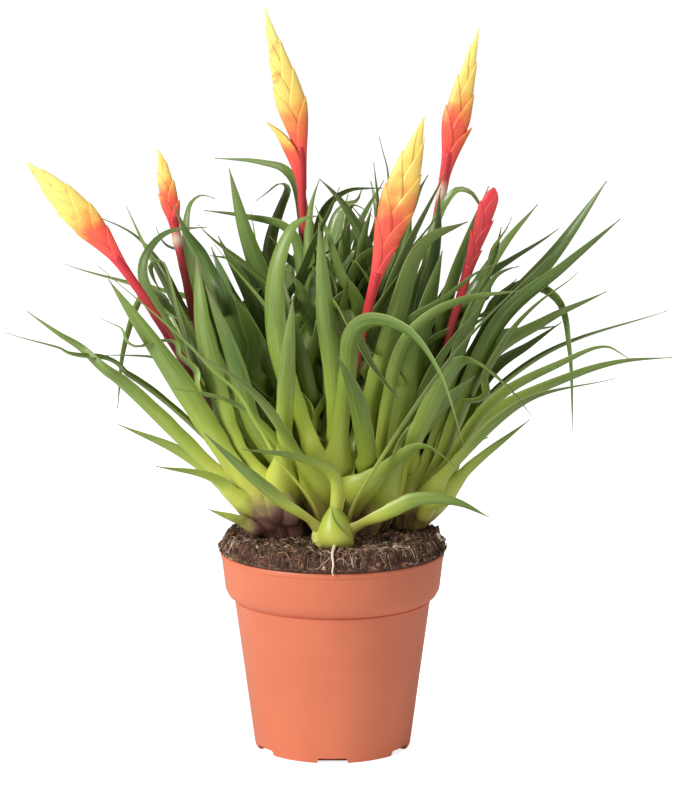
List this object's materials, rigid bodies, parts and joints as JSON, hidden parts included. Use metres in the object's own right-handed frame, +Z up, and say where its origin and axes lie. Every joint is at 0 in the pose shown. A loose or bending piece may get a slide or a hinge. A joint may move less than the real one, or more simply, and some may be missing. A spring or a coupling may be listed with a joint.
{
  "type": "potted bromeliad",
  "caption": "Potted bromeliad: strap-leaved rosettes and flattened red and yellow flower spikes rising from a fibrous soil ball in a plastic nursery pot.",
  "frame": {"origin": "middle of the pot's flat underside, on the surface it stands on", "axes": "+Z up along the pot's axis, +X to the right as seen from the front, +Y away from the front"},
  "size_m": [0.3401, 0.3027, 0.3941],
  "materials": {
    "pot": "satin",
    "soil": "matte",
    "leaves": "satin",
    "bracts": "satin"
  },
  "bodies": {
    "root": {"pot": "pot", "soil": "soil", "rosette_front_left": "leaves", "rosette_front_middle": "leaves", "rosette_front_right": "leaves", "rosette_right": "leaves", "rosette_centre": "leaves", "rosette_back_right": "leaves", "rosette_back": "leaves", "rosette_back_left": "leaves", "spike_front_left": "bracts", "spike_back_left": "bracts", "spike_back": "bracts", "spike_centre": "bracts", "spike_back_right": "bracts", "spike_right": "bracts"}
  },
  "joints": []
}
